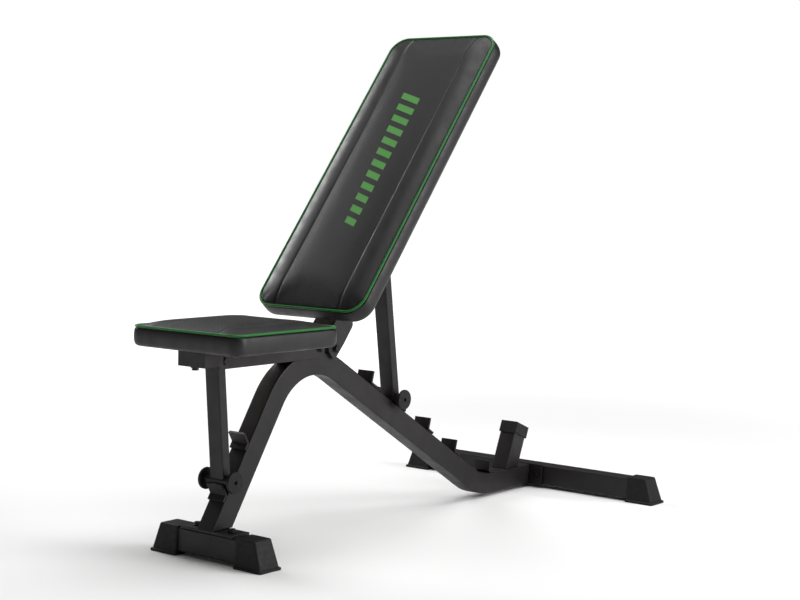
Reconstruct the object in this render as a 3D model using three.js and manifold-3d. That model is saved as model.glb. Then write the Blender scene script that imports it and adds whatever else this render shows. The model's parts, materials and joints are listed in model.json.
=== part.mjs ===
// Adjustable weight bench: bent-tube frame, tilting seat and raised backrest, each held up by
// a strut whose cross tube rests in notches on the frame.
// Millimetres. X is across the bench (+X is the sitter's left), Y runs from the seat end (-Y)
// to the long rear foot (+Y), Z is up. The origin is the centre of the footprint on the floor.

import * as THREE from 'three';
import { mergeVertices } from 'three/addons/utils/BufferGeometryUtils.js';
import Module from 'manifold-3d';

const wasm = await Module();
wasm.setup();

// ---------------------------------------------------------------- driving dimensions

const GAP = 0.3;                 // left between any two pieces that touch
const TUBE_WIDTH = 40;           // main tube, across the bench
const TUBE_DEPTH = 45;           // main tube, in the side view
const TUBE_WALL = 2.5;
const TUBE_EDGE = 3;             // outside corner radius of every tube
const BEND_RADIUS = 127;         // centreline radius of both spine bends
const FLOOR_GAP = 7;             // stabiliser tubes ride this far above the floor
const TUBE_MIDDLE = FLOOR_GAP + TUBE_DEPTH / 2;
const TUBE_TOP = FLOOR_GAP + TUBE_DEPTH;

const FRONT_FOOT_LENGTH = 282;
const REAR_FOOT_LENGTH = 680;
const FEET_SPACING = 1022;       // front foot is at y = 0 until the whole bench is centred
const PLATE = 5;                 // base plates and hooks

const ARCH_CORNER = [206, 388];  // where the straight centrelines of leg and slope would meet
const HEEL_CORNER = [803, TUBE_MIDDLE];
const LEG_ANGLE = 58;
const SLOPE_ANGLE = degrees(Math.atan2(ARCH_CORNER[1] - HEEL_CORNER[1], HEEL_CORNER[0] - ARCH_CORNER[0]));

const SEAT_WIDTH = 270;
const SEAT_LENGTH = 274;
const SEAT_FRONT = -88;
const SEAT_LEVEL = 424;          // height of the seat's piped edge
const BACK_LENGTH = 700;
const BACK_ANGLE = 51.8;
const BACK_EDGE = [235.3, 445.7]; // lower piped edge of the backrest
const PAD_SIDE = 36;             // piped edge down to the underside of the board
const PAD_CROWN = 11;
const SEAT_CORNER = 21;
const BACK_CORNER = 38;
const SHARPEST_CORNER = 6;      // of any contour inside a pad's outline
const BOARD = 9;
const PIPING_RADIUS = 2.6;

const SEAT_PIVOT = [256, 371];
const BACK_PIVOT = [297, 368];
const SEAT_RAIL_WIDTH = 47;
const SEAT_RAIL_BOTTOM = 351;
const SHEET = 3;                 // folded sheet brackets

const STRUT_WIDTH = 34;
const STRUT_DEPTH = 20;
const STRUT_WALL = 2;
const ROLLER_RADIUS = 11;
const ROLLER_HALF = 33;
const FLANGE_RADIUS = 20.5;
const FLANGE_THICKNESS = 5.5;
const NOTCH_SLACK = 0.6;         // a cross tube stands this far off its notch

const BOLT_RADIUS = 4;
const BOLT_HEAD = 7;
const BOLT_HEAD_HEIGHT = 5;

// ---------------------------------------------------------------- side-view helpers

function radians(angle) { return angle * Math.PI / 180; }
function degrees(angle) { return angle * 180 / Math.PI; }
function heading(angle) { return [Math.cos(radians(angle)), Math.sin(radians(angle))]; }
function along(point, direction, distance) {
  return [point[0] + direction[0] * distance, point[1] + direction[1] * distance];
}
function leftOf(direction) { return [-direction[1], direction[0]]; }
function between(a, b) {
  const length = Math.hypot(b[0] - a[0], b[1] - a[1]);
  return [(b[0] - a[0]) / length, (b[1] - a[1]) / length];
}
function dot(a, b) { return a[0] * b[0] + a[1] * b[1]; }

// A closed outline through corner points, each rounded with its own radius.
function roundedShape(corners, radii) {
  const shape = new THREE.Shape();
  const count = corners.length;
  corners.forEach((corner, i) => {
    const into = between(corners[(i + count - 1) % count], corner);
    const out = between(corner, corners[(i + 1) % count]);
    const turn = Math.atan2(into[0] * out[1] - into[1] * out[0], dot(into, out));
    const radius = Array.isArray(radii) ? radii[i] : radii;
    const cut = radius * Math.abs(Math.tan(turn / 2));
    const start = along(corner, into, -cut);
    if (i === 0) shape.moveTo(...start);
    else shape.lineTo(...start);
    if (radius <= 0) return;
    const side = Math.sign(turn);
    const centre = along(start, leftOf(into), side * radius);
    const from = Math.atan2(start[1] - centre[1], start[0] - centre[0]);
    shape.absarc(...centre, radius, from, from + turn, side < 0);
  });
  shape.closePath();
  return shape;
}

// The outline of a bar of even depth that follows a bent path. Each end is cut along its own
// direction; without one it is cut square.
function bandShape(path, half, bend, cuts = []) {
  const last = path.length - 1;
  const sides = [1, -1].map((side) => path.map((point, i) => {
    const into = between(path[Math.max(i - 1, 0)], path[Math.max(i, 1)]);
    const out = between(path[Math.min(i, last - 1)], path[Math.min(i + 1, last)]);
    let mitre = leftOf(into);
    if (i > 0 && i < last) mitre = between([0, 0], along(leftOf(into), leftOf(out), 1));
    if (i === 0 && cuts[0]) mitre = cuts[0];
    if (i === last && cuts[1]) mitre = cuts[1];
    const reach = side * half / dot(mitre, leftOf(into));
    return along(point, mitre, reach);
  }));
  const radii = [1, -1].map((side) => path.map((point, i) => {
    if (i === 0 || i === last) return 0;
    const into = between(path[i - 1], point);
    const out = between(point, path[i + 1]);
    const turn = Math.sign(into[0] * out[1] - into[1] * out[0]);
    return bend - turn * side * half;
  }));
  const corners = [...sides[1], ...sides[0].reverse()];
  return roundedShape(corners, [...radii[1], ...radii[0].reverse()]);
}

function discShape(centre, radius) {
  const shape = new THREE.Shape();
  shape.absarc(centre[0], centre[1], radius, 0, Math.PI * 2, false);
  return shape;
}

// ---------------------------------------------------------------- solids

// Local axes of a side-view drawing: drawing x is world Y, drawing y is world Z, depth is world X.
const SIDE_VIEW = new THREE.Matrix4().makeBasis(
  new THREE.Vector3(0, 1, 0), new THREE.Vector3(0, 0, 1), new THREE.Vector3(1, 0, 0));

function extruded(shape, depth, edge = 0, arcSteps = 4) {
  const geometry = new THREE.ExtrudeGeometry(shape, {
    depth: depth - 2 * edge,
    bevelEnabled: edge > 0,
    bevelThickness: edge,
    bevelSize: edge,
    bevelOffset: -edge,
    bevelSegments: 2,
    curveSegments: arcSteps,
  });
  return geometry.translate(0, 0, -depth / 2 + edge);
}

// Extruded across the bench, centred on x.
function across(shape, width, edge = 0, x = 0, arcSteps = 4) {
  return extruded(shape, width, edge, arcSteps).applyMatrix4(SIDE_VIEW).translate(x, 0, 0);
}

// A round bar along X.
function rod(centre, radius, from, to, steps = 28) {
  const geometry = new THREE.CylinderGeometry(radius, radius, to - from, steps);
  return geometry.rotateZ(Math.PI / 2).translate((from + to) / 2, centre[0], centre[1]);
}

function block(x, y, z) {
  const geometry = new THREE.BoxGeometry(x[1] - x[0], y[1] - y[0], z[1] - z[0]);
  return geometry.translate((x[0] + x[1]) / 2, (y[0] + y[1]) / 2, (z[0] + z[1]) / 2);
}

// Closed skin through a stack of rings that all have the same number of points.
function stacked(rings) {
  const positions = [];
  const index = [];
  const count = rings[0].length;
  rings.forEach((ring) => ring.forEach((point) => positions.push(...point)));
  for (let r = 0; r + 1 < rings.length; r += 1) {
    for (let i = 0; i < count; i += 1) {
      const a = r * count + i;
      const b = r * count + (i + 1) % count;
      index.push(a, b, b + count, a, b + count, a + count);
    }
  }
  [[rings[0], 0, true], [rings.at(-1), (rings.length - 1) * count, false]].forEach(([ring, base, under]) => {
    const centre = positions.length / 3;
    positions.push(...[0, 1, 2].map((k) => ring.reduce((sum, point) => sum + point[k], 0) / count));
    for (let i = 0; i < count; i += 1) {
      const next = (i + 1) % count;
      if (under) index.push(centre, base + next, base + i);
      else index.push(centre, base + i, base + next);
    }
  });
  const geometry = new THREE.BufferGeometry();
  geometry.setAttribute('position', new THREE.Float32BufferAttribute(positions, 3));
  geometry.setIndex(index);
  return geometry;
}

// A rounded rectangle as a ring of points at one height, anticlockwise from above.
function rectangleRing(x, y, corner, height, steps = 6) {
  const centres = [[x[1], y[1], 0], [x[0], y[1], 90], [x[0], y[0], 180], [x[1], y[0], 270]];
  return centres.flatMap(([cx, cy, from]) => Array.from({ length: steps + 1 }, (_, i) => {
    const direction = heading(from + 90 * i / steps);
    const inset = [Math.sign(cx - (x[0] + x[1]) / 2), Math.sign(cy - (y[0] + y[1]) / 2)];
    return [cx + (direction[0] - inset[0]) * corner, cy + (direction[1] - inset[1]) * corner, height];
  }));
}

function toManifold(geometry) {
  const bare = geometry.clone();
  ['normal', 'uv'].forEach((name) => bare.deleteAttribute(name));
  const merged = mergeVertices(bare, 1e-4);
  return new wasm.Manifold(new wasm.Mesh({
    numProp: 3,
    vertProperties: new Float32Array(merged.attributes.position.array),
    triVerts: new Uint32Array(merged.index.array),
  }));
}

function fromManifold(solid) {
  const { numProp, vertProperties, triVerts } = solid.getMesh();
  const positions = [];
  for (let i = 0; i < vertProperties.length; i += numProp) {
    positions.push(vertProperties[i], vertProperties[i + 1], vertProperties[i + 2]);
  }
  const geometry = new THREE.BufferGeometry();
  geometry.setAttribute('position', new THREE.Float32BufferAttribute(positions, 3));
  geometry.setIndex(Array.from(triVerts));
  return geometry;
}

function cut(base, ...tools) {
  return fromManifold(tools.reduce((solid, tool) => solid.subtract(toManifold(tool)), toManifold(base)));
}

function joined(...geometries) {
  const [first, ...rest] = geometries.map(toManifold);
  return fromManifold(rest.reduce((solid, more) => solid.add(more), first));
}

// ---------------------------------------------------------------- finishes and assembly

const FINISHES = {
  powder_coat: { color: 0x2b292b, roughness: 0.5, metalness: 0.3 },
  black_plastic: { color: 0x242325, roughness: 0.6, metalness: 0 },
  black_bolt: { color: 0x1b1b1d, roughness: 0.4, metalness: 0.8 },
  black_vinyl: { color: 0x19181a, roughness: 0.55, metalness: 0 },
  green_piping: { color: 0x2f9e4a, roughness: 0.5, metalness: 0 },
  plywood: { color: 0xa98a5e, roughness: 0.8, metalness: 0 },
};
const MATERIALS = Object.fromEntries(Object.entries(FINISHES).map(
  ([name, finish]) => [name, new THREE.MeshStandardMaterial({ name, ...finish })]));

const bench = new THREE.Group();
bench.name = 'adjustable_weight_bench';

function add(name, finish, geometry) {
  const flat = geometry.index ? geometry.toNonIndexed() : geometry;
  flat.computeVertexNormals();
  const mesh = new THREE.Mesh(flat, MATERIALS[finish]);
  mesh.name = name;
  bench.add(mesh);
}

function addPair(name, finish, makeAt) {
  add(`${name}_left`, finish, makeAt(1));
  add(`${name}_right`, finish, makeAt(-1));
}

const BEND_STEPS = 14;           // a bend is drawn with twice this many flats

// A hollow rectangular tube following a path in the side view, open at both ends.
function bentTube(path, depth, width, wall, cuts = []) {
  const last = path.length - 1;
  const longer = [...path];
  longer[0] = along(path[0], between(path[1], path[0]), depth);
  longer[last] = along(path[last], between(path[last - 1], path[last]), depth);
  const outside = across(bandShape(path, depth / 2, BEND_RADIUS, cuts), width, TUBE_EDGE, 0, BEND_STEPS);
  const boreSide = bandShape(longer, depth / 2 - wall, BEND_RADIUS, cuts);
  const bore = across(boreSide, width - 2 * wall, 0, 0, BEND_STEPS);
  return cut(outside, bore);
}

// ---------------------------------------------------------------- bolts

// A hexagon bolt standing on the origin: head above, shank below. It is turned to any direction.
function hexBolt(shank, direction, seat, head = BOLT_HEAD) {
  const cap = new THREE.CylinderGeometry(head * 0.94, head, BOLT_HEAD_HEIGHT, 6);
  cap.translate(0, BOLT_HEAD_HEIGHT / 2 + 1.2, 0);
  const washer = new THREE.CylinderGeometry(head * 1.22, head * 1.22, 1.3, 18).translate(0, 0.65, 0);
  const stem = new THREE.CylinderGeometry(BOLT_RADIUS, BOLT_RADIUS, shank + 1, 12)
    .translate(0, -shank / 2 + 0.5, 0);
  const turn = new THREE.Quaternion().setFromUnitVectors(new THREE.Vector3(0, 1, 0), direction);
  const solid = joined(stem, washer, cap);
  return solid.applyQuaternion(turn).translate(...seat);
}

// A pivot bolt along X with its head at +X and its end just short of the nut's face.
function pivotBolt(centre, half) {
  return hexBolt(2 * half + 7, new THREE.Vector3(1, 0, 0), [half + GAP, ...centre]);
}

function pivotNut(centre, half) {
  const nut = new THREE.CylinderGeometry(BOLT_HEAD, BOLT_HEAD, 6, 6).rotateZ(Math.PI / 2);
  nut.translate(-half - GAP - 3, ...centre);
  return cut(nut, rod(centre, BOLT_RADIUS + 0.15, -half - 10, -half + 1, 16));
}

function hole(centre, from = -60, to = 60) {
  return rod(centre, BOLT_RADIUS + GAP, from, to, 16);
}

// ---------------------------------------------------------------- stabilisers and foot caps

function stabiliserTube(length, y) {
  const section = (depth, height, corner) => roundedShape([
    [y - depth / 2, TUBE_MIDDLE - height / 2], [y + depth / 2, TUBE_MIDDLE - height / 2],
    [y + depth / 2, TUBE_MIDDLE + height / 2], [y - depth / 2, TUBE_MIDDLE + height / 2]], corner);
  const inside = 2 * TUBE_WALL;
  return cut(
    across(section(TUBE_WIDTH, TUBE_DEPTH, TUBE_EDGE), length, 0, 0, 3),
    across(section(TUBE_WIDTH - inside, TUBE_DEPTH - inside, 1), length + 10, 0, 0, 2));
}

// Tapered plastic foot that sleeves over the end of a stabiliser, with a flared sole.
const CAP_LENGTH = 68;
const CAP_WIDTH = 57;
const CAP_HEIGHT = 55;
const CAP_SOLE = 5;
const CAP_SLOPE = 21.5;          // how far the outer face leans in by the top
const CAP_END_WALL = 24;         // plastic beyond the tube's end, at tube height

function footCap(length, y, side) {
  const end = length / 2;
  const ring = (z, inner, outer, half, corner) =>
    rectangleRing([end - CAP_LENGTH - inner, end - outer], [y - half, y + half], corner, z, 4);
  const half = CAP_WIDTH / 2;
  const body = stacked([
    ring(0, 0, 0.8, half - 0.8, 4),
    ring(1, 0.8, 0, half, 4.5),
    ring(CAP_SOLE - 1, 0.8, 0, half, 4.5),
    ring(CAP_SOLE, 0, 1, half - 1, 4),
    ring(CAP_SOLE + 0.8, -1.5, 4, half - 2.6, 4),
    ring(CAP_HEIGHT - 2, 0.6, CAP_SLOPE - 1.5, half - 6, 4),
    ring(CAP_HEIGHT - 0.6, 0.2, CAP_SLOPE, half - 6.8, 3.5),
    ring(CAP_HEIGHT, -1.2, CAP_SLOPE + 1.4, half - 8.2, 2.5),
  ]);
  const socket = block(
    [end - CAP_LENGTH - 5, end - CAP_END_WALL + GAP],
    [y - TUBE_WIDTH / 2 - GAP, y + TUBE_WIDTH / 2 + GAP],
    [FLOOR_GAP - GAP, TUBE_TOP + GAP]);
  const cap = cut(body, socket);
  return side > 0 ? cap : mirrored(cap);
}

// Mirror across x = 0, keeping the faces outward.
function mirrored(geometry) {
  const flat = geometry.index ? geometry.toNonIndexed() : geometry.clone();
  flat.scale(-1, 1, 1);
  const p = flat.attributes.position;
  for (let i = 0; i < p.count; i += 3) {
    const swap = [p.getX(i + 1), p.getY(i + 1), p.getZ(i + 1)];
    p.setXYZ(i + 1, p.getX(i + 2), p.getY(i + 2), p.getZ(i + 2));
    p.setXYZ(i + 2, ...swap);
  }
  return flat;
}

const CAPPED = 2 * (CAP_END_WALL);
add('front_stabiliser', 'powder_coat', cut(
  stabiliserTube(FRONT_FOOT_LENGTH - CAPPED, 0),
  ...[1, -1].map((side) => verticalHole(side * 44, 0, TUBE_MIDDLE, TUBE_TOP + 2))));
add('rear_stabiliser', 'powder_coat', cut(
  stabiliserTube(REAR_FOOT_LENGTH - CAPPED, FEET_SPACING),
  ...[1, -1].map((side) => lengthwiseHole(side * 38, TUBE_MIDDLE, FEET_SPACING - TUBE_WIDTH / 2))));
addPair('front_foot_cap', 'black_plastic', (side) => footCap(FRONT_FOOT_LENGTH, 0, side));
addPair('rear_foot_cap', 'black_plastic', (side) => footCap(REAR_FOOT_LENGTH, FEET_SPACING, side));

function verticalHole(x, y, from, to) {
  const drill = new THREE.CylinderGeometry(BOLT_RADIUS + GAP, BOLT_RADIUS + GAP, to - from, 16);
  return drill.rotateX(Math.PI / 2).translate(x, y, (from + to) / 2);
}

function lengthwiseHole(x, z, y) {
  return new THREE.CylinderGeometry(BOLT_RADIUS + GAP, BOLT_RADIUS + GAP, 24, 16).translate(x, y, z);
}

// ---------------------------------------------------------------- spine and its plates

const LEG_DIRECTION = heading(LEG_ANGLE);
const SLOPE_DIRECTION = heading(-SLOPE_ANGLE);
const LEG_FOOT_LEVEL = TUBE_TOP + PLATE + 2 * GAP;
const SPINE_END = FEET_SPACING - TUBE_WIDTH / 2 - PLATE - 2 * GAP;
const legFoot = along(ARCH_CORNER, LEG_DIRECTION, -(ARCH_CORNER[1] - LEG_FOOT_LEVEL) / LEG_DIRECTION[1]);

add('spine_tube', 'powder_coat', bentTube([legFoot, ARCH_CORNER, HEEL_CORNER, [SPINE_END, TUBE_MIDDLE]],
  TUBE_DEPTH, TUBE_WIDTH, TUBE_WALL, [[-1, 0], null]));

const FRONT_PLATE_HALF = 66;
const FRONT_BOLT_X = 44;
add('front_base_plate', 'powder_coat', cut(
  block([-FRONT_PLATE_HALF, FRONT_PLATE_HALF], [-22, 22], [TUBE_TOP + GAP, TUBE_TOP + GAP + PLATE]),
  ...[1, -1].map((side) => verticalHole(side * FRONT_BOLT_X, 0, TUBE_TOP - 2, TUBE_TOP + PLATE + 2))));
addPair('front_plate_bolt', 'black_bolt', (side) => hexBolt(14, new THREE.Vector3(0, 0, 1),
  [side * FRONT_BOLT_X, 0, TUBE_TOP + PLATE + 2 * GAP]));

const REAR_PLATE_HALF = 53;
const REAR_BOLT_X = 38;
const REAR_PLATE_Y = FEET_SPACING - TUBE_WIDTH / 2 - GAP;
add('rear_end_plate', 'powder_coat', cut(
  block([-REAR_PLATE_HALF, REAR_PLATE_HALF], [REAR_PLATE_Y - PLATE, REAR_PLATE_Y], [FLOOR_GAP, TUBE_TOP + 1]),
  ...[1, -1].map((side) => lengthwiseHole(side * REAR_BOLT_X, TUBE_MIDDLE, REAR_PLATE_Y))));
addPair('rear_plate_bolt', 'black_bolt', (side) => hexBolt(14, new THREE.Vector3(0, -1, 0),
  [side * REAR_BOLT_X, REAR_PLATE_Y - PLATE - GAP, TUBE_MIDDLE]));

// ---------------------------------------------------------------- notches for the struts

// Faces of the tube that the notches stand on: a point on the face and the way it runs uphill.
const legFace = along(ARCH_CORNER, leftOf(LEG_DIRECTION), TUBE_DEPTH / 2);
const slopeFace = along(ARCH_CORNER, leftOf(SLOPE_DIRECTION), TUBE_DEPTH / 2);
function legPoint(z) { return along(legFace, LEG_DIRECTION, (z - legFace[1]) / LEG_DIRECTION[1]); }
function slopePoint(y) { return along(slopeFace, SLOPE_DIRECTION, (y - slopeFace[0]) / SLOPE_DIRECTION[0]); }

// An angle plate: foot flat on the tube, lip standing up at its own heading.
function angleHook(corner, footHeading, lipHeading, foot, lip) {
  const lift = footSide(footHeading, lipHeading) * (PLATE / 2 + GAP);
  const centre = along(corner, leftOf(heading(footHeading)), lift);
  const path = [along(centre, heading(footHeading), foot), centre, along(centre, heading(lipHeading), lip)];
  const bend = PLATE / 2 + 1.5;
  return across(bandShape(path, PLATE / 2, bend), TUBE_WIDTH, 1.2, 0, 2);
}

function footSide(footHeading, lipHeading) {
  return Math.sin(radians(lipHeading - footHeading)) > 0 ? 1 : -1;
}

const HOOK_FOOT = 20;
const HOOK_LIP = 24;
const REAR_LIP_HEADING = 75;
const REAR_HOOK_PITCH = 95.6;    // measured along y
const REAR_HOOK_FIRST = 418;
const REAR_HOOK_ON_SLOPE = 4;
for (let i = 0; i < REAR_HOOK_ON_SLOPE; i += 1) {
  const corner = slopePoint(REAR_HOOK_FIRST + i * REAR_HOOK_PITCH);
  const hook = angleHook(corner, -SLOPE_ANGLE, REAR_LIP_HEADING, HOOK_FOOT, HOOK_LIP);
  add(`rear_hook_${i + 1}`, 'powder_coat', hook);
}
const LAST_HOOK_Y = 836;
const LAST_LIP_HEADING = 83;
add('rear_hook_5', 'powder_coat',
  angleHook([LAST_HOOK_Y, TUBE_TOP], 0, LAST_LIP_HEADING, HOOK_FOOT, HOOK_LIP));

const FRONT_LIP_HEADING = 119.4;
const LOWER_HOOK_LEVEL = 119;
const UPPER_HOOK_LEVEL = 207.4;
[['front_hook_lower', LOWER_HOOK_LEVEL], ['front_hook_upper', UPPER_HOOK_LEVEL]].forEach(([name, level]) => {
  add(name, 'powder_coat',
    angleHook(legPoint(level), LEG_ANGLE - 180, FRONT_LIP_HEADING, HOOK_FOOT - 6, HOOK_LIP - 2));
});

// Where a cross tube settles between the tube face and a lip.
function restIn(corner, faceHeading, lipHeading, lipOffset) {
  const stand = ROLLER_RADIUS + NOTCH_SLACK;
  const opening = Math.abs(faceHeading - lipHeading);
  const apex = along(corner, heading(faceHeading), lipOffset / Math.sin(radians(opening)));
  return along(apex, heading((faceHeading + lipHeading) / 2), stand / Math.sin(radians(opening / 2)));
}

const LIP_HALF = PLATE / 2;
const rearCorner = slopePoint(REAR_HOOK_FIRST + REAR_HOOK_PITCH);
const frontCorner = legPoint(LOWER_HOOK_LEVEL);
const backRoller = restIn(rearCorner, 180 - SLOPE_ANGLE, REAR_LIP_HEADING, LIP_HALF);
const seatRoller = restIn(frontCorner, LEG_ANGLE, FRONT_LIP_HEADING, LIP_HALF);

// ---------------------------------------------------------------- rear rest post

const POST_LEAN = 22;
const POST_BASE_Y = 924;
const POST_LENGTH = 98;
const postDirection = [Math.sin(radians(POST_LEAN)), Math.cos(radians(POST_LEAN))];
const postBase = [POST_BASE_Y, TUBE_TOP + GAP];
const postTop = along(postBase, postDirection, POST_LENGTH);
add('rest_post', 'powder_coat',
  bentTube([postBase, postTop], TUBE_DEPTH, TUBE_WIDTH, TUBE_WALL, [[-1, 0], null]));

const CAP_WALL = 2;
const POST_CAP_HEIGHT = 26;
const POST_CAP_TOP = 3.5;
add('rest_post_cap', 'black_plastic', cut(
  across(bandShape([along(postTop, postDirection, POST_CAP_TOP - POST_CAP_HEIGHT),
    along(postTop, postDirection, POST_CAP_TOP)], TUBE_DEPTH / 2 + CAP_WALL + GAP, 0),
  TUBE_WIDTH + 2 * (CAP_WALL + GAP), 1.5),
  across(bandShape([along(postTop, postDirection, -POST_CAP_HEIGHT - 5), along(postTop, postDirection, GAP)],
    TUBE_DEPTH / 2 + GAP, 0), TUBE_WIDTH + 2 * GAP)));

// ---------------------------------------------------------------- pivot saddle on the arch

const SADDLE_WIDTH = 36;
const SADDLE_CHEEK = 4;
const archCentre = along(
  along(ARCH_CORNER, LEG_DIRECTION, -BEND_RADIUS * Math.tan(radians((LEG_ANGLE + SLOPE_ANGLE) / 2))),
  leftOf(LEG_DIRECTION), -BEND_RADIUS);
const CROWN_RADIUS = BEND_RADIUS + TUBE_DEPTH / 2;
function saddleSide(inset) {
  const reach = 11 - inset;
  const tangent = between(SEAT_PIVOT, BACK_PIVOT);
  const up = leftOf(tangent);
  return roundedShape([
    along(along(SEAT_PIVOT, tangent, -reach), up, -30),
    along(along(BACK_PIVOT, tangent, reach + 3), up, -30),
    along(along(BACK_PIVOT, tangent, reach + 3), up, reach - 2),
    along(along(SEAT_PIVOT, tangent, -reach), up, reach - 3.2)], [0, 0, 6, 6]);
}
add('pivot_saddle', 'powder_coat', cut(
  across(saddleSide(0), SADDLE_WIDTH),
  across(discShape(archCentre, CROWN_RADIUS + GAP), SADDLE_WIDTH + 4, 0, 0, 40),
  hole(SEAT_PIVOT), hole(BACK_PIVOT)));

// ---------------------------------------------------------------- pads, boards and piping

// Frame of a pad: origin on the middle of its near piped edge, v along the pad, w out of its face.
function padFrame(edge, angle) {
  const v = heading(angle);
  const w = leftOf(v);
  const basis = new THREE.Matrix4().makeBasis(
    new THREE.Vector3(1, 0, 0), new THREE.Vector3(0, ...v), new THREE.Vector3(0, ...w));
  return basis.setPosition(0, ...edge);
}
const seatFrame = padFrame([SEAT_FRONT, SEAT_LEVEL], 0);
const backFrame = padFrame(BACK_EDGE, BACK_ANGLE);

// Upholstery: flat underside, straight sides, a groove for the piping and a crowned face.
function padSolid(length, corner) {
  const ring = (inset, height) => rectangleRing([-SEAT_WIDTH / 2 + inset, SEAT_WIDTH / 2 - inset],
    [inset, length - inset], Math.max(corner - inset, SHARPEST_CORNER), height, 5);
  const bottom = -PAD_SIDE + BOARD + GAP;
  const groove = 2 * PIPING_RADIUS + 0.8;
  const shelf = -PIPING_RADIUS - 0.7;
  return stacked([
    ring(3, bottom),
    ring(1, bottom + 3),
    ring(1, shelf),
    ring(groove / 2, shelf),
    ring(groove, shelf + 1.3),
    ring(groove, 1.6),
    ring(16, PAD_CROWN * 0.6),
    ring(38, PAD_CROWN * 0.9),
    ring(74, PAD_CROWN),
  ]);
}

const BOARD_INSET = 8;
function boardSolid(length, corner, holes) {
  const half = SEAT_WIDTH / 2 - BOARD_INSET;
  const end = length - BOARD_INSET;
  const outline = roundedShape([[-half, BOARD_INSET], [half, BOARD_INSET], [half, end], [-half, end]],
    corner - BOARD_INSET);
  const slab = extruded(outline, BOARD, 0, 3).translate(0, 0, -PAD_SIDE + BOARD / 2);
  return cut(slab, ...holes.map(([x, y]) => verticalHole(x, y, -PAD_SIDE - 2, -PAD_SIDE + BOARD - 1)));
}

function pipingPath(length, corner) {
  const inset = PIPING_RADIUS + 0.2;
  const half = SEAT_WIDTH / 2 - inset;
  const end = length - inset;
  return roundedShape([[-half, inset], [half, inset], [half, end], [-half, end]], corner - inset);
}

// The cord as a ring of round sections that follow the edge of the pad.
function pipingSolid(length, corner) {
  const stations = pipingPath(length, corner).getPoints(3).slice(0, -1);
  const around = 6;
  const positions = [];
  const index = [];
  stations.forEach((point, i) => {
    const before = stations[(i + stations.length - 1) % stations.length];
    const after = stations[(i + 1) % stations.length];
    const out = leftOf(between([before.x, before.y], [after.x, after.y]));
    for (let k = 0; k < around; k += 1) {
      const [c, s] = heading(360 * k / around);
      const reach = c * PIPING_RADIUS;
      positions.push(point.x - out[0] * reach, point.y - out[1] * reach, s * PIPING_RADIUS);
    }
  });
  stations.forEach((_, i) => {
    const next = (i + 1) % stations.length;
    for (let k = 0; k < around; k += 1) {
      const a = i * around + k;
      const b = i * around + (k + 1) % around;
      const c = next * around + (k + 1) % around;
      const d = next * around + k;
      index.push(a, d, c, a, c, b);
    }
  });
  const geometry = new THREE.BufferGeometry();
  geometry.setAttribute('position', new THREE.Float32BufferAttribute(positions, 3));
  geometry.setIndex(index);
  return geometry;
}

// ---------------------------------------------------------------- seat

const RAIL_TOP = SEAT_LEVEL - PAD_SIDE - 2 * GAP - 4;   // the cross plate lies on top of the rail
const RAIL_FRONT = -16.7;
const railSide = roundedShape([
  [RAIL_FRONT, SEAT_RAIL_BOTTOM], [SEAT_PIVOT[0] + 15, SEAT_RAIL_BOTTOM],
  [SEAT_PIVOT[0] + 15, RAIL_TOP], [RAIL_FRONT, RAIL_TOP]], [2, 15, 10, 2]);
const SEAT_STRUT_PIVOT = [-5, 366];
const railInside = block([-SEAT_RAIL_WIDTH / 2 + SHEET, SEAT_RAIL_WIDTH / 2 - SHEET], [-100, 400],
  [SEAT_RAIL_BOTTOM - 10, RAIL_TOP - SHEET]);
add('seat_rail', 'powder_coat', cut(
  across(railSide, SEAT_RAIL_WIDTH, 1.2), railInside,
  hole(SEAT_PIVOT), hole(SEAT_STRUT_PIVOT),
  block([-30, 30], [SEAT_PIVOT[0] - 1, 400], [SEAT_PIVOT[1] + 2, RAIL_TOP + 5]),
));

const CROSS_PLATE_HALF = 60;
const CROSS_PLATE_Y = [-16, 14];
const CROSS_BOLT_X = 45;
const CROSS_BOLT_Y = -6;
const BOARD_BOTTOM = SEAT_LEVEL - PAD_SIDE;
add('seat_cross_plate', 'powder_coat', cut(
  block([-CROSS_PLATE_HALF, CROSS_PLATE_HALF], CROSS_PLATE_Y, [BOARD_BOTTOM - GAP - 4, BOARD_BOTTOM - GAP]),
  ...[1, -1].map((side) => verticalHole(side * CROSS_BOLT_X, CROSS_BOLT_Y, BOARD_BOTTOM - 10, BOARD_BOTTOM + 1))));
addPair('seat_pad_bolt', 'black_bolt', (side) => hexBolt(11, new THREE.Vector3(0, 0, -1),
  [side * CROSS_BOLT_X, CROSS_BOLT_Y, BOARD_BOTTOM - 2 * GAP - 4]));

const FRONT_BRACKET_HALF = 33.5;
const FRONT_BRACKET_Y = [-64, RAIL_FRONT - GAP];
const FRONT_BRACKET_BOTTOM = 358;
const FRONT_BOLT_Y = -54;
add('seat_front_bracket', 'powder_coat', cut(
  block([-FRONT_BRACKET_HALF, FRONT_BRACKET_HALF], FRONT_BRACKET_Y, [FRONT_BRACKET_BOTTOM, BOARD_BOTTOM - GAP]),
  block([-FRONT_BRACKET_HALF + SHEET, FRONT_BRACKET_HALF - SHEET],
    [FRONT_BRACKET_Y[0] + SHEET, FRONT_BRACKET_Y[1] + 5], [FRONT_BRACKET_BOTTOM + SHEET, BOARD_BOTTOM + 5]),
  verticalHole(0, FRONT_BOLT_Y, FRONT_BRACKET_BOTTOM - 5, FRONT_BRACKET_BOTTOM + 5)));
add('seat_front_bolt', 'black_bolt', hexBolt(34, new THREE.Vector3(0, 0, -1),
  [0, FRONT_BOLT_Y, FRONT_BRACKET_BOTTOM - GAP]));

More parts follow.
